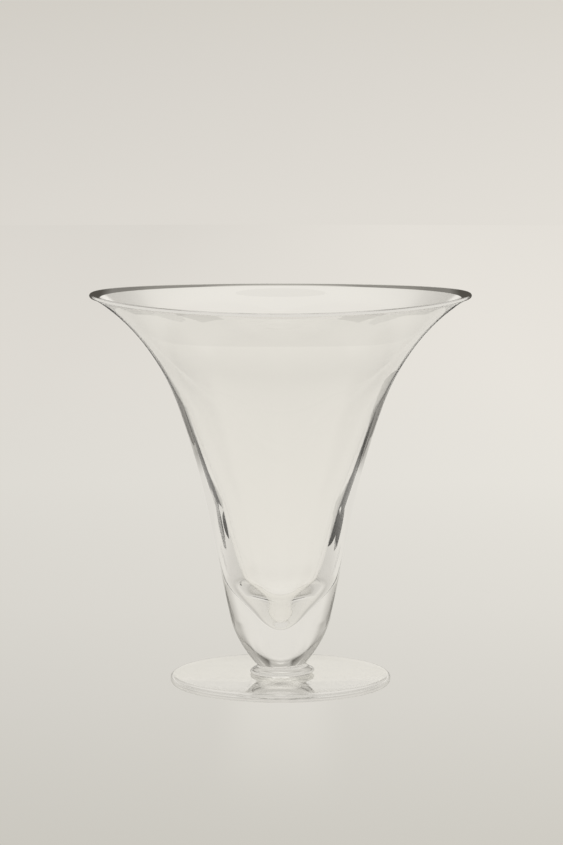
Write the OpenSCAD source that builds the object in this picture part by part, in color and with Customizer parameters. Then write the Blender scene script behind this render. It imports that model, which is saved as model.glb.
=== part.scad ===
// Flared glass vase: a blown bowl on a small ring of glass, on a flat round foot.
// Millimetres, +Z up. The origin is the centre of the foot's underside.
// The three pieces are turned profiles that meet on flat seams.
// A profile runs through stations. Each station is [radius, height, lean],
// where lean is the angle between the surface and the vertical, outward positive.

/* [Bowl outside] */
// Height of the rim above the table
vase_height = 250; // [230:1:300]
// Diameter over the lip
rim_diameter = 242; // [190:1:280]
// How far the wall leans out at the lip, in degrees
rim_lean = 61; // [45:1:72]
// Height of the slight shoulder where the flare begins
shoulder_height = 178; // [155:1:195]
// Outside diameter at the shoulder
shoulder_diameter = 130; // [120:0.5:144]
// Lean of the outside at the shoulder, in degrees
shoulder_lean = 19.5; // [12:0.5:28]
// Height of the middle of the shaft
shaft_height = 116; // [100:1:130]
// Outside diameter at the middle of the shaft
shaft_diameter = 94.2; // [86:0.1:106]
// Lean of the outside at the middle of the shaft, in degrees
shaft_lean = 12.5; // [6:0.5:20]
// Height at which the rounded belly turns into the shaft
belly_height = 42; // [38:1:60]
// Outside diameter at the belly
belly_diameter = 64; // [56:0.5:76]
// Lean of the outside at the belly, in degrees
belly_lean = 12.5; // [8:0.5:30]
// Lean of the underside where it leaves the ring, in degrees
seat_lean = 40; // [25:1:60]

/* [Bowl glass thickness] */
// Thickness of the lip
lip_thickness = 2.4; // [1.8:0.1:4]
// Glass at the shoulder, measured level
shoulder_wall = 2.7; // [1.5:0.1:5]
// Glass at the middle of the shaft, measured level
shaft_wall = 7.7; // [3:0.1:9]
// Height at which the rounded tip of the cavity turns into its wall
tip_height = 57; // [44:1:66]
// Diameter of the cavity at that height
tip_diameter = 41.5; // [28:0.5:46]
// Solid glass between the ring and the lowest point of the cavity
floor_thickness = 20.5; // [14:0.5:24]
// Lean of the cavity wall at the shoulder, in degrees
shoulder_cavity_lean = 23; // [14:0.5:30]
// Lean of the cavity wall at the middle of the shaft, in degrees
shaft_cavity_lean = 19.5; // [12:0.5:22]
// Lean of the cavity wall where the rounded tip ends, in degrees
tip_lean = 18; // [14:0.5:32]

/* [Ring] */
// Height of the ring with its short neck
ring_height = 7.2; // [6:0.1:10]
// Diameter of the bead, where the ring is widest
bead_diameter = 40.8; // [37:0.1:50]
// Height of the bead's widest line above the foot
bead_rise = 1.8; // [1.4:0.1:2.6]
// Diameter at which the ring sits on the foot
ring_seat_diameter = 37.6; // [34:0.1:40]
// Lean of the ring's side where it leaves the foot, in degrees
ring_seat_lean = 50; // [20:1:60]
// Diameter of the neck, the narrowest line of the vase
neck_diameter = 31.8; // [26:0.1:32]
// Distance of the neck's narrowest line below the bowl
neck_drop = 1.2; // [0.6:0.1:2]
// Diameter of the seam between ring and bowl
seam_diameter = 32.8; // [32.2:0.1:36]

/* [Foot] */
// Diameter of the foot
foot_diameter = 141; // [110:1:170]
// Thickness of the foot
foot_thickness = 5.8; // [5:0.1:9]
// Radius of the foot's rounded edge
foot_edge_radius = 2.4; // [1:0.1:2.5]

/* [Hidden] */
// Every node of the part
// The node that is drawn, or all of them
// Length of a curve's handle as a share of the distance between two stations
handle_share = 1 / 3;
// Straight pieces between two stations, and round each edge
curve_steps = 10;
edge_steps = 8;
// Facets of the preview round the axis
$fn = 128;
// Colours of the three pieces, from the blown wall to the thick foot
bowl_colour = [0.87, 0.86, 0.82, 0.35];
ring_colour = [0.80, 0.79, 0.75, 0.45];
foot_colour = [0.84, 0.83, 0.79, 0.40];
// Height at which the bowl sits on the ring
bowl_seat_height = foot_thickness + ring_height;
// Height of the lowest point of the cavity
floor_height = bowl_seat_height + floor_thickness;
// Middle of the round that closes the lip
lip_centre = [(rim_diameter - lip_thickness) / 2, vase_height - lip_thickness / 2];

// Direction in which a surface with this lean climbs
function climb(lean) = [sin(lean), cos(lean)];

// Direction across the same surface, away from the axis
function outward(lean) = [cos(lean), -sin(lean)];

// Point at share t of the cubic curve from a to d, with handles b and c
function cubic(a, b, c, d, t) =
    pow(1 - t, 3) * a
    + 3 * pow(1 - t, 2) * t * b
    + 3 * (1 - t) * pow(t, 2) * c
    + pow(t, 3) * d;

// Curve from one station to the next, without its last point
function span(from, to) =
    let (
        a = [from[0], from[1]],
        d = [to[0], to[1]],
        reach = handle_share * norm(d - a)
    )
    [
        for (step = [0 : curve_steps - 1])
            cubic(a, a + reach * climb(from[2]), d - reach * climb(to[2]), d, step / curve_steps)
    ];

// Smooth line through all the stations
function line_through(stations) =
    [
        for (i = [0 : len(stations) - 2])
            each span(stations[i], stations[i + 1]),
        [stations[len(stations) - 1][0], stations[len(stations) - 1][1]]
    ];

// The same points in the opposite order
function backwards(points) = [for (i = [len(points) - 1 : -1 : 0]) points[i]];

// Point of the lip's round, turned by this angle from the outside of the wall
function lip_point(angle) =
    lip_centre + lip_thickness / 2 * (cos(angle) * outward(rim_lean) + sin(angle) * climb(rim_lean));

// Outside of the bowl, from the seam on the ring up to the lip
function bowl_outside() =
    line_through([
        [seam_diameter / 2, bowl_seat_height, seat_lean],
        [belly_diameter / 2, belly_height, belly_lean],
        [shaft_diameter / 2, shaft_height, shaft_lean],
        [shoulder_diameter / 2, shoulder_height, shoulder_lean],
        [lip_point(0)[0], lip_point(0)[1], rim_lean]
    ]);

// Cavity of the bowl, from its rounded floor up to the lip
function bowl_cavity() =
    line_through([
        [0, floor_height, 90],
        [tip_diameter / 2, tip_height, tip_lean],
        [shaft_diameter / 2 - shaft_wall, shaft_height, shaft_cavity_lean],
        [shoulder_diameter / 2 - shoulder_wall, shoulder_height, shoulder_cavity_lean],
        [lip_point(180)[0], lip_point(180)[1], rim_lean]
    ]);

// Round of the lip between the two surfaces
function lip_round() = [for (step = [1 : edge_steps - 1]) lip_point(180 * step / edge_steps)];

// Blown bowl: thin and wide at the lip, thick and solid below
module bowl() {
    color(bowl_colour)
        rotate_extrude()
            polygon(concat(
                [[0, bowl_seat_height]],
                bowl_outside(),
                lip_round(),
                backwards(bowl_cavity())
            ));
}

// Ring that joins bowl and foot: a round bead below, a short neck above
module ring() {
    color(ring_colour)
        rotate_extrude()
            polygon(concat(
                [[0, foot_thickness]],
                line_through([
                    [ring_seat_diameter / 2, foot_thickness, ring_seat_lean],
                    [bead_diameter / 2, foot_thickness + bead_rise, 0],
                    [neck_diameter / 2, bowl_seat_height - neck_drop, 0],
                    [seam_diameter / 2, bowl_seat_height, seat_lean]
                ]),
                [[0, bowl_seat_height]]
            ));
}

// Quarter of a round edge about a centre, from one angle to the next
function edge_round(centre, first_angle) =
    [
        for (step = [0 : edge_steps])
            let (angle = first_angle + 90 * step / edge_steps)
            centre + foot_edge_radius * [cos(angle), sin(angle)]
    ];

// Flat round foot with a rounded edge
module foot() {
    edge_centre = foot_diameter / 2 - foot_edge_radius;
    color(foot_colour)
        rotate_extrude()
            polygon(concat(
                [[0, 0]],
                edge_round([edge_centre, foot_edge_radius], -90),
                edge_round([edge_centre, foot_thickness - foot_edge_radius], 0),
                [[0, foot_thickness]]
            ));
}

bowl();
ring();
foot();
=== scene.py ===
"""Looks of the flared glass vase: fused clear glass in soft studio light, metres, +Z up."""

import math

import bpy
import numpy as np
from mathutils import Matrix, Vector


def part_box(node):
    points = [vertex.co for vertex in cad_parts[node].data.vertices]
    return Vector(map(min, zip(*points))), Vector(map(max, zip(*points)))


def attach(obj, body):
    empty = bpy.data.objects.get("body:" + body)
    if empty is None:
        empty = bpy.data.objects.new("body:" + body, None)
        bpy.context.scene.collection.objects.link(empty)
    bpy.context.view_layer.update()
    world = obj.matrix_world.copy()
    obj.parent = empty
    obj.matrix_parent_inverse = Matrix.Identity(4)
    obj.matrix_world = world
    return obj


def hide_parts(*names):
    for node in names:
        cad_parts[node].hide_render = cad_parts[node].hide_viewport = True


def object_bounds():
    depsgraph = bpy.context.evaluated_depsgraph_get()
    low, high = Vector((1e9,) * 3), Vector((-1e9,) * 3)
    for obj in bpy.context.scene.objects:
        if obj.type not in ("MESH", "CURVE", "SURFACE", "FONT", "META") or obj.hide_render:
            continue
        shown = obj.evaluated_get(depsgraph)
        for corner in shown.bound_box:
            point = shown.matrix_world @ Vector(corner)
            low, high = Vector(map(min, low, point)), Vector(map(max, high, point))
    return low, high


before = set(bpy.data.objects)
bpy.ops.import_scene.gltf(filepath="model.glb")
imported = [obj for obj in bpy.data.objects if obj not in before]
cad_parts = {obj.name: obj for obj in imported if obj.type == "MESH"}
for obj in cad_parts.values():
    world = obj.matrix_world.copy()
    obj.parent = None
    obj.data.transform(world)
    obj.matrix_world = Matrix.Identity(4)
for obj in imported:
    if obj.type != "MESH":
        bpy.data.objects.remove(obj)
cad_low, cad_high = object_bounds()

MM = 0.001
TURN = 2 * math.pi
# Points nearer to the axis than this lie on it
TINY = 1e-9

# Sizes that the frame gives
vase_height = cad_high.z
rim_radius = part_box("bowl")[1].x
seam_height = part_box("bowl")[0].z
foot_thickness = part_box("foot")[1].z
foot_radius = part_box("foot")[1].x
bead_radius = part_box("ring")[1].x

# Radius of the bowl's joint with the ring, and lean of the outside there
SEAM_RADIUS = 16.4 * MM
SEAM_LEAN = 40
# Thickness of the lip, which is a full round, and lean of the wall that it closes
LIP = 2.4 * MM
RIM_LEAN = 61
# Stations of the bowl's outside and of its cavity: radius, height and lean from the vertical in degrees
BELLY = (32 * MM, 42 * MM, 12.5)
SHAFT = (47.1 * MM, 116 * MM, 12.5)
SHOULDER = (65 * MM, 178 * MM, 19.5)
CAVITY_FLOOR = 38.5 * MM
CAVITY_TIP = (13.2 * MM, 51.4 * MM, 34)
CAVITY_WAIST = (26.0 * MM, 72 * MM, 18.5)
CAVITY_SHAFT = (39.9 * MM, 116 * MM, 19.5)
CAVITY_SHOULDER = (63.0 * MM, 178 * MM, 23)
# Radius and lean where the ring stands on the foot, and height of the bead's widest place above it
RING_SEAT = (18.8 * MM, 50)
BEAD_RISE = 1.8 * MM
# Radius of the neck, and how far it lies below the bowl
NECK = (15.9 * MM, 1.2 * MM)
# Radius of the foot's round edge
FOOT_EDGE = 2.4 * MM
# The bead was pressed a little out of true, towards +X
BEAD_SHIFT = 1.6 * MM

# The hand-blown rim: front and back sag a little, and the sag fades out towards the shoulder
BACK_SAG = 2.2 * MM
FRONT_SAG = 4.0 * MM
SAG_START = 150 * MM

# Fineness of the meshes
SEGMENTS = 256
SPAN_STEPS = 60
EDGE_STEPS = 16

# Material slots of each visible mesh
GLASS, SEAM, BAND, ROUND = 0, 1, 2, 3

# Clear soda glass
GLASS_TINT = (0.998, 0.995, 0.981, 1)
GLASS_IOR = 1.5
# Light that meets the glass more often than this comes out as a painted glow in a mean tone, a level by
# height, whose darker levels paint shade in bands
DEEPEST = 9
PAINTED_DEEP_LEVELS = [
    (0.0, 224), (0.006, 224), (0.009, 135), (0.016, 140), (0.022, 222),
    (0.112, 222), (0.135, 150), (0.185, 175), (0.205, 222), (0.25, 222),
]
# Painted shade: below this height the base's tint runs dark towards its outline, over this fade
SHADED_BASE_TOP = 78 * MM
SHADED_BASE_FADE = 12 * MM
# Greatest width of the band inside the lip that takes painted shade
SHADED_LIP_BAND = 10.0 * MM
# The band's painted dark edge: its width up to this facing weight, how fast it widens beyond it, and its
# softness
EDGE_WIDTH = 2.9 * MM
EDGE_FACING = 0.46
EDGE_GROWTH = 4.5 * MM
EDGE_SOFTNESS = 0.25 * MM
# Levels of the painted dark glow on the lip where it is seen along its surface, by how far it lies to the
# side
LIP_LEVELS = [(0.0, 130), (0.109, 128), (0.115, 82), (0.125, 82)]
# Facing weights between which that painted shade comes in, on the band and on the lip's round
BAND_SHADE = (0.5, 0.75)
ROUND_SHADE = (0.7, 0.88)

# Camera: its place and the focal length that fit the photograph
CAMERA_DISTANCE = 2.0
CAMERA_HEIGHT = 0.391
CAMERA_PITCH = 6.38
CAMERA_LENS = 134.76
CAMERA_LONG_SIDE = 36.0
# Height of the picture, and how far left of its middle the vase stands, in pixels
IMAGE_HEIGHT = 845
AXIS_OFFSET = 1.0

# How often light may meet the glass, and how often it may pass a joint or a flag unbent
BOUNCES = 96
UNBENT_BOUNCES = 32

# How far each channel of the studio's warm white lies below its level
WARM_WHITE = (0, 3, 9)
# The floor disc lies just under the foot, and its near tones pass to its far ones between these distances
FLOOR_DROP = 0.3 * MM
FLOOR_RADIUS = 6.0
NEAR_FLOOR_END = 0.8
FAR_FLOOR_START = 3.0
# Screen colour of the backdrop where the floor ends
BACKDROP_EDGE = (223, 219, 212)
# Screen colour of the floor under the foot for light that crossed no more than the foot's two faces, and
# the distances between which it comes in
UNDER_FOOT = (243, 240, 232)
FOOT_FACES = 2
UNDER_FOOT_FADE = (75 * MM, 68 * MM)
# How much brighter the studio gets towards +X: per metre on the floor and per unit of direction behind it,
# each as far as its limit
FLOOR_SLANT = 0.16
FLOOR_SLANT_LIMIT = 0.3
BACKDROP_SLANT = 0.4
BACKDROP_SLANT_LIMIT = 0.1
# Light that the stem throws on the floor in front of the foot: its strength, the half widths where it ends
# and where it is full, and its start and end along Y
GLOW = 0.06
GLOW_EDGE = 48.6 * MM
GLOW_CORE = 8.1 * MM
GLOW_START = -60 * MM
GLOW_END = -450 * MM
# Height of the lowest unit direction that the sky's tones cover
SKY_LOW = -0.1
# Cosines of the turn from straight behind the vase, between which the tones behind it pass to those at its
# sides, and on to those in front
SIDE_TURN = (0.85, 0.65)
FRONT_TURN = (0.2, -0.2)

# Kinds of light that the studio tells apart
THROUGH = "seen through the glass"
INNER = "turned back inside the glass"
MIRRORED = "mirrored on the glass"

# Black flags on the floor round the vase, which draw the edges of clear glass in a bright studio.
# Their outlines are (x, y) points in metres, as they would lie on the vase's right.
WALL_NEAR_RIGHT = [
    (0.185, 0.130), (0.168, 0.060), (0.149, 0.060), (0.147, 0.130), (0.124, 0.143), (0.113, 0.180),
]
WALL_NEAR_LEFT = [
    (0.185, 0.130), (0.170, 0.085), (0.153, 0.090), (0.150, 0.138), (0.124, 0.149), (0.112, 0.180),
]
WALL_FAR = [
    (0.128, 0.250), (0.150, 0.330), (0.180, 0.440), (0.185, 0.600), (0.250, 0.900),
    (0.330, 1.200), (0.360, 1.800), (0.550, 1.800), (0.440, 1.200), (0.335, 0.820),
    (0.245, 0.550), (0.245, 0.330), (0.220, 0.260), (0.195, 0.200),
]
BASE_FLAG = [
    (0.080, 0.080), (0.095, 0.160), (0.105, 0.240), (0.150, 0.225), (0.140, 0.150), (0.120, 0.075),
]
FLARE_RIGHT = [
    (0.330, 0.300), (0.320, 0.600), (0.265, 0.850), (0.258, 1.300),
    (0.300, 1.300), (0.345, 0.780), (0.400, 0.600), (0.440, 0.300),
]
FLARE_LEFT = [
    (0.350, 0.400), (0.310, 0.600), (0.265, 0.850), (0.262, 1.350),
    (0.300, 1.350), (0.345, 0.850), (0.400, 0.600), (0.420, 0.400),
]
# Each flag's name, the kind of light that it stops, its side and its outline
RIGHT, LEFT = 1, -1
FLAGS = [
    ("flag_wall_right", INNER, RIGHT, WALL_NEAR_RIGHT + WALL_FAR),
    ("flag_wall_left", INNER, LEFT, WALL_NEAR_LEFT + WALL_FAR),
    ("flag_base_right", MIRRORED, RIGHT, BASE_FLAG),
    ("flag_base_left", MIRRORED, LEFT, BASE_FLAG),
    ("flag_flare_right", MIRRORED, RIGHT, FLARE_RIGHT),
    ("flag_flare_left", MIRRORED, LEFT, FLARE_LEFT),
]


def climb(lean):
    """Direction in which a surface of this lean climbs, as (radial, height)."""
    return np.array([math.sin(math.radians(lean)), math.cos(math.radians(lean))])


def outward(lean):
    """Direction across that surface, away from the axis."""
    return np.array([math.cos(math.radians(lean)), -math.sin(math.radians(lean))])


def span(start, end, steps):
    """Cubic curve between two stations, without its last point."""
    a, d = np.array(start[:2]), np.array(end[:2])
    reach = np.linalg.norm(d - a) / 3
    b, c = a + reach * climb(start[2]), d - reach * climb(end[2])
    t = np.linspace(0, 1, steps, endpoint=False)[:, None]
    return (1 - t) ** 3 * a + 3 * (1 - t) ** 2 * t * b + 3 * (1 - t) * t**2 * c + t**3 * d


def line_through(stations, steps=SPAN_STEPS):
    """Smooth line of (radius, height) points through all the stations."""
    parts = [span(p, q, steps) for p, q in zip(stations[:-1], stations[1:])]
    return np.vstack(parts + [np.array([stations[-1][:2]])])


def arc(centre, radius, first, last, steps=EDGE_STEPS):
    """Points of a round edge, between two angles in degrees."""
    angles = np.radians(np.linspace(first, last, steps + 1))
    return np.array(centre) + radius * np.stack([np.cos(angles), np.sin(angles)], axis=1)


def lip_point(angle):
    """Point of the lip's round, turned by this angle from the outside of the wall."""
    centre = np.array([rim_radius - LIP / 2, vase_height - LIP / 2])
    turn = math.radians(angle)
    return centre + LIP / 2 * (math.cos(turn) * outward(RIM_LEAN) + math.sin(turn) * climb(RIM_LEAN))


def sag(points):
    """Let the flare hang below the true turned shape, more at the front than at the back."""
    radius = np.maximum(np.hypot(points[:, 0], points[:, 1]), TINY)
    rise = np.clip((points[:, 2] - SAG_START) / (vase_height - SAG_START), 0, 1)
    along = points[:, 1] / radius
    drop = (BACK_SAG + FRONT_SAG) / 2 + (BACK_SAG - FRONT_SAG) / 2 * along
    points[:, 2] -= drop * rise**2 * along**2


def press_bead(points):
    """Push the bead sideways between its two joints."""
    share = np.clip((points[:, 2] - foot_thickness) / (seam_height - foot_thickness), 0, 1)
    points[:, 0] += BEAD_SHIFT * np.sin(math.pi * share)


def add_object(name, data):
    """New object of the scene."""
    thing = bpy.data.objects.new(name, data)
    bpy.context.scene.collection.objects.link(thing)
    return thing


def sharpen_joints(mesh, slots):
    """Keep the edge round each joint sharp."""
    beside = {}
    for polygon, slot in zip(mesh.polygons, slots):
        for key in polygon.edge_keys:
            beside.setdefault(key, set()).add(slot == SEAM)
    for edge in mesh.edges:
        edge.use_edge_sharp = len(beside[edge.key]) > 1


def turned(name, profile, kinds, change=None):
    """Closed mesh from a profile turned round the axis.

    kinds gives the material of each step of the profile that isn't plain glass, and change moves the points.
    """
    angles = np.arange(SEGMENTS) * TURN / SEGMENTS
    rings, points, count = [], [], 0
    for radius, height in profile:
        if radius < TINY:
            points.append(np.array([[0.0, 0.0, height]]))
            rings.append([count])
            count += 1
        else:
            x, y = radius * np.cos(angles), radius * np.sin(angles)
            points.append(np.stack([x, y, np.full(SEGMENTS, height)], axis=1))
            rings.append(list(range(count, count + SEGMENTS)))
            count += SEGMENTS
    faces, slots = [], []
    for i, (low, high) in enumerate(zip(rings[:-1], rings[1:])):
        for k in range(SEGMENTS):
            n = (k + 1) % SEGMENTS
            if len(low) == 1:
                faces.append((low[0], high[n], high[k]))
            elif len(high) == 1:
                faces.append((low[k], low[n], high[0]))
            else:
                faces.append((low[k], low[n], high[n], high[k]))
            slots.append(kinds.get(i, GLASS))
    points = np.vstack(points)
    if change:
        change(points)
    mesh = bpy.data.meshes.new(name)
    mesh.from_pydata(points.tolist(), [], faces)
    mesh.polygons.foreach_set("use_smooth", np.ones(len(faces), bool))
    mesh.polygons.foreach_set("material_index", np.array(slots, np.int32))
    mesh.update()
    sharpen_joints(mesh, slots)
    return add_object(name, mesh)


def bowl_profile():
    """Outline of the bowl's glass, and its steps that are the joint, the lip's round and the band."""
    outside = line_through([
        (SEAM_RADIUS, seam_height, SEAM_LEAN),
        BELLY,
        SHAFT,
        SHOULDER,
        (*lip_point(0), RIM_LEAN),
    ])
    cavity = line_through([
        (0, CAVITY_FLOOR, 90),
        CAVITY_TIP,
        CAVITY_WAIST,
        CAVITY_SHAFT,
        CAVITY_SHOULDER,
        (*lip_point(180), RIM_LEAN),
    ])
    lip = np.array([lip_point(a) for a in np.linspace(0, 180, EDGE_STEPS + 1)[1:-1]])
    profile = np.vstack([[[0, seam_height]], outside, lip, cavity[::-1]])
    round_start = len(outside)
    band_start = round_start + EDGE_STEPS
    reach = np.linalg.norm(cavity - lip_point(180), axis=1)
    band_end = len(profile) - 1 - int(np.argmax(reach < SHADED_LIP_BAND))
    kinds = {0: SEAM}
    kinds.update(dict.fromkeys(range(round_start, band_start), ROUND))
    kinds.update(dict.fromkeys(range(band_start, band_end), BAND))
    return profile, kinds


def ring_profile():
    """Outline of the bead and the neck above it, and the steps that are its two joints."""
    side = line_through([
        (RING_SEAT[0], foot_thickness, RING_SEAT[1]),
        (bead_radius, foot_thickness + BEAD_RISE, 0),
        (NECK[0], seam_height - NECK[1], 0),
        (SEAM_RADIUS, seam_height, SEAM_LEAN),
    ], EDGE_STEPS)
    profile = np.vstack([[[0, foot_thickness]], side, [[0, seam_height]]])
    return profile, {0: SEAM, len(profile) - 2: SEAM}


def foot_profile():
    """Outline of the flat disc, and the step that is its joint."""
    edge = foot_radius - FOOT_EDGE
    low = arc((edge, FOOT_EDGE), FOOT_EDGE, -90, 0)
    high = arc((edge, foot_thickness - FOOT_EDGE), FOOT_EDGE, 0, 90)
    profile = np.vstack([[[0, 0]], low, high, [[RING_SEAT[0], foot_thickness]], [[0, foot_thickness]]])
    return profile, {len(profile) - 2: SEAM}


def linear(*channels):
    """Colour as a screen shows it, 0 to 255, as linear light with alpha 1."""
    shares = [c / 255 for c in channels]
    return (*[s / 12.92 if s <= 0.04045 else ((s + 0.055) / 1.055) ** 2.4 for s in shares], 1.0)


class Nodes:
    """Short ways to add and join the nodes of one material or world."""

    def __init__(self, owner):
        owner.use_nodes = True
        self.tree = owner.node_tree
        self.tree.nodes.clear()

    def add(self, kind, **inputs):
        """New node, with its inputs fed by name."""
        node = self.tree.nodes.new(kind)
        for name, value in inputs.items():
            self.feed(node.inputs[name.replace("_", " ")], value)
        return node

    def feed(self, socket, value):
        """Join a socket to another, or set its own value."""
        if isinstance(value, bpy.types.NodeSocket):
            self.tree.links.new(value, socket)
        else:
            socket.default_value = value

    def math(self, operation, *values):
        """Result of an operation on numbers or sockets."""
        node = self.tree.nodes.new("ShaderNodeMath")
        node.operation = operation
        for socket, value in zip(node.inputs, values):
            self.feed(socket, value)
        return node.outputs[0]

    def fade(self, value, low, high):
        """0 at low, 1 at high and smooth between."""
        node = self.tree.nodes.new("ShaderNodeMapRange")
        node.interpolation_type = "SMOOTHERSTEP"
        for socket, given in zip(node.inputs, (value, low, high, 0.0, 1.0)):
            self.feed(socket, given)
        return node.outputs[0]

    def mix(self, factor, first, second):
        """Mix of two colours."""
        node = self.tree.nodes.new("ShaderNodeMix")
        node.data_type = "RGBA"
        for name, value in (("Factor", factor), ("A", first), ("B", second)):
            self.feed(node.inputs[name], value)
        return node.outputs["Result"]

    def blend(self, factor, first, second):
        """Mix of two shaders."""
        node = self.add("ShaderNodeMixShader", Fac=factor)
        self.feed(node.inputs[1], first)
        self.feed(node.inputs[2], second)
        return node.outputs["Shader"]

    def glow(self, colour, strength=1.0):
        """Shader that gives off light of this colour."""
        return self.add("ShaderNodeEmission", Color=colour, Strength=strength).outputs["Emission"]

    def ramp(self, value, stops):
        """Colour that runs through the stops, each a value with a screen colour, from the lowest up."""
        low, high = stops[0][0], stops[-1][0]
        node = self.tree.nodes.new("ShaderNodeValToRGB")
        self.feed(node.inputs["Fac"], self.math("DIVIDE", self.math("SUBTRACT", value, low), high - low))
        elements = node.color_ramp.elements
        while len(elements) < len(stops):
            elements.new(0.5)
        for element, (place, colour) in zip(elements, stops):
            element.position = (place - low) / (high - low)
            element.color = linear(*colour)
        return node.outputs["Color"]

    def levels(self, value, stops):
        """The same in the studio's warm white, with one level from 0 to 255 at each stop."""
        return self.ramp(value, [(place, [level - drop for drop in WARM_WHITE]) for place, level in stops])

    def length(self, x, y):
        """Length of a flat vector."""
        return self.math("SQRT", self.math("ADD", self.math("MULTIPLY", x, x), self.math("MULTIPLY", y, y)))

    def coordinates(self, kind, output):
        """A coordinate node's output, split into "X", "Y" and "Z"."""
        return self.add("ShaderNodeSeparateXYZ", Vector=self.add(kind).outputs[output]).outputs


def new_material(name):
    """Empty material and the way to fill it."""
    material = bpy.data.materials.new(name)
    return material, Nodes(material)


def clear_glass(nodes, tint, z):
    """Glass, with a painted glow in a mean tone, a level by height, for the light that would be turned back
    inside it again and again.
    """
    glass = nodes.add(
        "ShaderNodeBsdfPrincipled",
        Base_Color=tint,
        Roughness=0.0,
        IOR=GLASS_IOR,
        Transmission_Weight=1.0,
    )
    # Painted light and shade: deep light glows in levels by height, darker in bands
    deep = nodes.math("GREATER_THAN", nodes.add("ShaderNodeLightPath").outputs["Ray Depth"], DEEPEST - 0.5)
    return nodes.blend(deep, glass.outputs["BSDF"], nodes.glow(nodes.levels(z, PAINTED_DEEP_LEVELS)))


def unbent(nodes):
    """Light goes straight through."""
    return nodes.add("ShaderNodeBsdfTransparent").outputs["BSDF"]


def facing_weight(nodes):
    """0 where the glass is seen square on, 1 at its outline."""
    return nodes.add("ShaderNodeLayerWeight", Blend=0.5).outputs["Facing"]


def front_side(nodes):
    """1 where light meets the glass from outside, 0 where from within."""
    return nodes.math("SUBTRACT", 1.0, nodes.add("ShaderNodeNewGeometry").outputs["Backfacing"])


def glass_material(name):
    """Clear glass, with painted shade: on the base its tint runs dark towards its outline."""
    material, nodes = new_material(name)
    z = nodes.coordinates("ShaderNodeTexCoord", "Object")["Z"]
    base_shade_share = nodes.math("MULTIPLY", nodes.fade(z, SHADED_BASE_TOP, SHADED_BASE_TOP - SHADED_BASE_FADE), front_side(nodes))
    # Painted shade: tint that runs dark towards the outline, seen from outside the glass
    edge = nodes.ramp(facing_weight(nodes), [
        (0.0, (255, 255, 254)),
        (0.68, (254, 253, 250)),
        (0.80, (205, 204, 198)),
        (0.90, (145, 143, 138)),
        (1.0, (95, 93, 88)),
    ])
    glass = clear_glass(nodes, nodes.mix(base_shade_share, GLASS_TINT, edge), z)
    nodes.add("ShaderNodeOutputMaterial", Surface=glass)
    return material


def lip_shade(nodes, x):
    """Painted shade on the lip: a dark glow, deepest at its two sides."""
    return nodes.glow(nodes.levels(nodes.math("ABSOLUTE", x), LIP_LEVELS))


def rim_material(name):
    """The same glass inside the lip, with a band of painted shade along the edge of the wall, wider and
    darker where it is seen slanting.
    """
    material, nodes = new_material(name)
    place = nodes.coordinates("ShaderNodeTexCoord", "Object")
    facing = facing_weight(nodes)
    spread = nodes.math("SQRT", nodes.math("MAXIMUM", nodes.math("SUBTRACT", facing, EDGE_FACING), 0.0))
    width = nodes.math("ADD", nodes.math("MULTIPLY", spread, EDGE_GROWTH), EDGE_WIDTH)
    # How far this place lies below the lip, down the slope of the wall
    inwards = nodes.math("SUBTRACT", rim_radius - LIP / 2, nodes.length(place["X"], place["Y"]))
    depth = nodes.math("DIVIDE", inwards, math.sin(math.radians(RIM_LEAN)))
    inside = nodes.fade(nodes.math("SUBTRACT", width, depth), -EDGE_SOFTNESS, EDGE_SOFTNESS)
    band_shade_mask = nodes.math("MULTIPLY", inside, front_side(nodes))
    # Painted shade: tint of the band, dark where it is seen slanting
    dark = nodes.ramp(facing, [
        (0.0, (253, 252, 249)),
        (0.4, (240, 239, 234)),
        (0.46, (180, 178, 172)),
        (0.50, (88, 86, 82)),
        (0.6, (95, 93, 88)),
        (0.7, (100, 98, 93)),
        (1.0, (80, 78, 74)),
    ])
    glass = clear_glass(nodes, nodes.mix(band_shade_mask, GLASS_TINT, dark), place["Z"])
    # Painted shade: where it is seen slanting, the band glows dark
    shaded = nodes.math("MULTIPLY", band_shade_mask, nodes.fade(facing, *BAND_SHADE))
    nodes.add("ShaderNodeOutputMaterial", Surface=nodes.blend(shaded, glass, lip_shade(nodes, place["X"])))
    return material


def lip_material(name):
    """The lip's round, with painted shade: it glows dark where it is seen along its surface."""
    material, nodes = new_material(name)
    place = nodes.coordinates("ShaderNodeTexCoord", "Object")
    # Painted shade: the round glows dark where it is seen along its surface
    shaded = nodes.math("MULTIPLY", nodes.fade(facing_weight(nodes), *ROUND_SHADE), front_side(nodes))
    glass = clear_glass(nodes, GLASS_TINT, place["Z"])
    nodes.add("ShaderNodeOutputMaterial", Surface=nodes.blend(shaded, glass, lip_shade(nodes, place["X"])))
    return material


def seam_material():
    """The fused joints inside the glass, which light passes as if nothing were there."""
    material, nodes = new_material("fused_joint")
    nodes.add("ShaderNodeOutputMaterial", Surface=unbent(nodes))
    return material


def dress(piece, node, materials):
    """Give a piece its materials, in the order of its slots, and let it stand for its CAD node."""
    for material in materials:
        piece.data.materials.append(material)
    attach(piece, "root")
    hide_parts(node)


def make_vase():
    """The three pieces of glass, each a closed mesh."""
    seam = seam_material()
    bowl = turned("blown_bowl", *bowl_profile(), sag)
    dress(bowl, "bowl", [
        glass_material("bowl_glass"),
        seam,
        rim_material("rim_glass"),
        lip_material("lip_glass"),
    ])
    ring = turned("bead_ring", *ring_profile(), press_bead)
    dress(ring, "ring", [glass_material("ring_glass"), seam])
    foot = turned("round_foot", *foot_profile())
    dress(foot, "foot", [glass_material("foot_glass"), seam])


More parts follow.
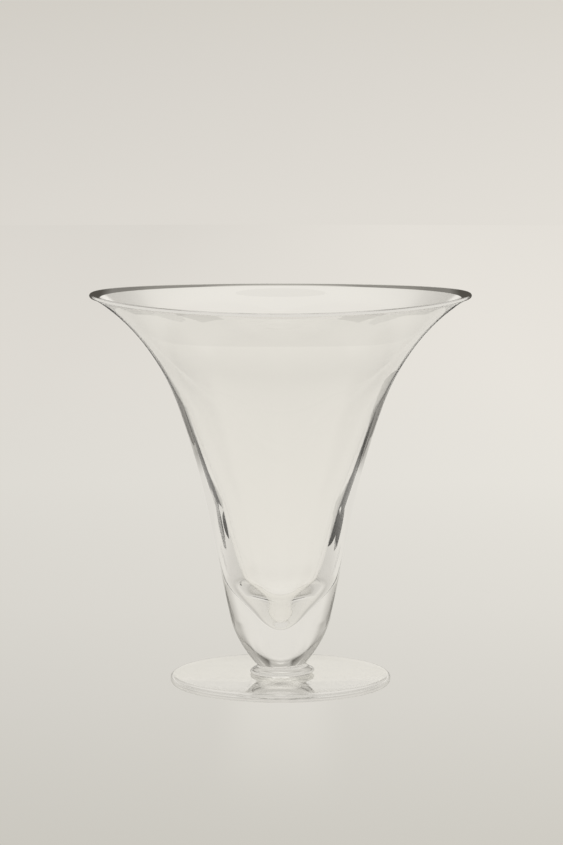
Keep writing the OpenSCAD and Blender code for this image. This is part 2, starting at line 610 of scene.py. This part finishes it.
def make_camera():
    """Camera that looks at the vase as the photograph does."""
    data = bpy.data.cameras.new("camera")
    camera = add_object("camera", data)
    data.sensor_width = CAMERA_LONG_SIDE
    data.lens = CAMERA_LENS
    data.shift_x = AXIS_OFFSET / IMAGE_HEIGHT
    camera.location = (0, -CAMERA_DISTANCE, CAMERA_HEIGHT)
    camera.rotation_euler = (math.radians(90 - CAMERA_PITCH), 0, 0)
    bpy.context.scene.camera = camera


def light_kinds(nodes):
    """For each kind of light, 1 where this light is of that kind and 0 where it isn't."""
    path = nodes.add("ShaderNodeLightPath")
    through = nodes.math("GREATER_THAN", path.outputs["Transmission Depth"], 0.5)
    reflected = nodes.math("GREATER_THAN", path.outputs["Glossy Depth"], 0.5)
    inner = nodes.math("MULTIPLY", through, reflected)
    mirrored = nodes.math("SUBTRACT", reflected, inner)
    return {THROUGH: through, INNER: inner, MIRRORED: mirrored}


def stage_sheet(name, outline, height, material):
    """Flat sheet of the studio, which isn't part of the object."""
    mesh = bpy.data.meshes.new(name)
    mesh.from_pydata([(x, y, height) for x, y in outline], [], [list(range(len(outline)))])
    mesh.materials.append(material)
    add_object(name, mesh)


def slanted(nodes, x, slope, limit, through):
    """Light that grows towards +X, but not where it is seen through the glass."""
    inside_limit = nodes.math("MAXIMUM", nodes.math("MINIMUM", x, limit), -limit)
    plain = nodes.math("SUBTRACT", 1.0, through)
    return nodes.math("MULTIPLY", nodes.math("MULTIPLY", inside_limit, slope), plain)


def floor_strength(nodes, x, y, through):
    """Strength of the floor's light: a slant towards +X, and the light that the stem throws to the front."""
    slant = slanted(nodes, x, FLOOR_SLANT, FLOOR_SLANT_LIMIT, through)
    across = nodes.fade(nodes.math("ABSOLUTE", x), GLOW_EDGE, GLOW_CORE)
    along = nodes.math("MULTIPLY", nodes.fade(y, GLOW_END, GLOW_START), nodes.fade(y, 0.0, GLOW_START))
    glow = nodes.math("MULTIPLY", nodes.math("MULTIPLY", across, along), GLOW)
    return nodes.math("ADD", nodes.math("ADD", 1.0, slant), glow)


def make_floor():
    """Pale seamless floor that glows with painted light rather than being lit: darker towards the viewer,
    and as bright as the backdrop at its far edge.
    """
    material, nodes = new_material("floor")
    place = nodes.coordinates("ShaderNodeNewGeometry", "Position")
    x, y = place["X"], place["Y"]
    distance = nodes.length(x, y)
    near = nodes.ramp(y, [
        (-1.0, (201, 198, 191)),
        (-0.43, (205, 202, 194)),
        (-0.06, (214, 211, 204)),
        (0.29, (220, 217, 210)),
        (1.0, (226, 223, 216)),
        (3.0, (227, 223, 216)),
    ])
    far = nodes.ramp(distance, [
        (0.0, (227, 223, 216)),
        (FLOOR_RADIUS / 3, (227, 223, 216)),
        (FLOOR_RADIUS, BACKDROP_EDGE),
    ])
    plain = nodes.mix(nodes.fade(distance, NEAR_FLOOR_END, FAR_FLOOR_START), near, far)
    seen_through = nodes.levels(distance, [
        (0.0, 225), (0.068, 225), (0.075, 235), (0.10, 234), (0.16, 231), (0.2, 231), (0.3, 231),
        (0.6, 230), (1.2, 228), (2.0, 226), (4.0, 230), (FLOOR_RADIUS, 232),
    ])
    crossings = nodes.add("ShaderNodeLightPath").outputs["Transmission Depth"]
    foot_alone = nodes.math("LESS_THAN", crossings, FOOT_FACES + 0.5)
    under_foot = nodes.math("MULTIPLY", foot_alone, nodes.fade(distance, *UNDER_FOOT_FADE))
    seen_through = nodes.mix(under_foot, seen_through, linear(*UNDER_FOOT))
    turned_back = nodes.levels(distance, [
        (0.0, 220), (0.068, 220), (0.075, 186), (0.10, 190), (0.12, 207), (0.16, 210), (0.25, 228),
        (0.6, 227), (1.2, 224), (2.0, 217), (4.0, 219), (FLOOR_RADIUS, 226),
    ])
    kinds = light_kinds(nodes)
    colour = nodes.mix(kinds[THROUGH], plain, seen_through)
    colour = nodes.mix(kinds[INNER], colour, turned_back)
    shader = nodes.glow(colour, floor_strength(nodes, x, y, kinds[THROUGH]))
    nodes.add("ShaderNodeOutputMaterial", Surface=shader)
    turns = [TURN * k / SEGMENTS for k in range(SEGMENTS)]
    outline = [(FLOOR_RADIUS * math.cos(a), FLOOR_RADIUS * math.sin(a)) for a in turns]
    stage_sheet("floor", outline, -FLOOR_DROP, material)


def flag_material(kind):
    """Black for one kind of light and clear for all the rest, so no flag shows in the picture."""
    material, nodes = new_material("flag")
    flag = nodes.blend(light_kinds(nodes)[kind], unbent(nodes), nodes.glow((0, 0, 0, 1)))
    nodes.add("ShaderNodeOutputMaterial", Surface=flag)
    return material


def make_flags():
    """Lay the flags just above the floor."""
    materials = {kind: flag_material(kind) for kind in (INNER, MIRRORED)}
    for name, kind, side, outline in FLAGS:
        stage_sheet(name, [(side * x, y) for x, y in outline], -FLOOR_DROP / 2, materials[kind])


def make_world():
    """Backdrop with the photograph's soft gradient, and a studio with tones for each kind of light."""
    world = bpy.data.worlds.new("studio")
    bpy.context.scene.world = world
    nodes = Nodes(world)
    direction = nodes.coordinates("ShaderNodeTexCoord", "Generated")
    x, y, z = direction["X"], direction["Y"], direction["Z"]
    backdrop = nodes.ramp(z, [
        (-0.06, BACKDROP_EDGE),
        (-0.045, BACKDROP_EDGE),
        (0.0, (217, 213, 206)),
        (0.025, (213, 209, 201)),
        (0.5, (206, 202, 195)),
    ])

    def sky(*stops):
        """Levels by elevation in degrees, which go on below the lowest and above the highest."""
        rising = [(math.sin(math.radians(angle)), level) for angle, level in stops]
        return nodes.levels(z, [(SKY_LOW, stops[0][1]), *rising, (1.0, stops[-1][1])])

    # The level part of the direction, kept above 0 to divide by
    flat = nodes.math("MAXIMUM", nodes.length(x, y), 0.001)
    behind = nodes.math("DIVIDE", y, flat)
    to_side = nodes.fade(behind, *SIDE_TURN)
    to_front = nodes.fade(behind, *FRONT_TURN)
    seen_through = nodes.mix(
        to_side,
        sky((0, 226), (6, 226), (20, 226), (38, 227), (46, 165), (55, 190), (90, 200)),
        sky((0, 228), (6, 232), (10, 178), (20, 190), (30, 175), (38, 60), (48, 60), (62, 210), (90, 200)),
    )
    turned_back = nodes.mix(
        to_front,
        nodes.mix(
            to_side,
            sky((0, 214), (6, 210), (12, 208), (20, 180), (28, 200), (42, 240), (58, 250), (75, 240)),
            sky((0, 205), (6, 198), (11, 140), (20, 90), (30, 140), (42, 165), (50, 212), (75, 215)),
        ),
        sky((0, 228), (6, 222), (12, 215), (20, 206), (30, 196), (42, 160), (58, 175), (75, 182)),
    )
    on_surface = sky(
        (0, 210), (3, 200), (5, 205), (8, 235), (9.5, 254), (13, 254),
        (16, 150), (22, 120), (27, 40), (33, 60), (38, 170), (50, 215), (65, 238),
    )
    kinds = light_kinds(nodes)
    colour = nodes.mix(kinds[THROUGH], backdrop, seen_through)
    colour = nodes.mix(kinds[INNER], colour, turned_back)
    colour = nodes.mix(kinds[MIRRORED], colour, on_surface)
    slant = slanted(nodes, x, BACKDROP_SLANT, BACKDROP_SLANT_LIMIT, kinds[THROUGH])
    background = nodes.add("ShaderNodeBackground", Color=colour, Strength=nodes.math("ADD", 1.0, slant))
    nodes.add("ShaderNodeOutputWorld", Surface=background.outputs["Background"])


def set_rendering():
    """Screen colours come out as they are set here, and light gets through all the layers of glass."""
    scene = bpy.context.scene
    scene.view_settings.view_transform = "Standard"
    scene.cycles.max_bounces = BOUNCES
    scene.cycles.transmission_bounces = BOUNCES
    scene.cycles.glossy_bounces = BOUNCES
    scene.cycles.transparent_max_bounces = UNBENT_BOUNCES
    scene.cycles.use_denoising = True


make_camera()
make_vase()
make_floor()
make_flags()
make_world()
set_rendering()

bpy.context.view_layer.update()
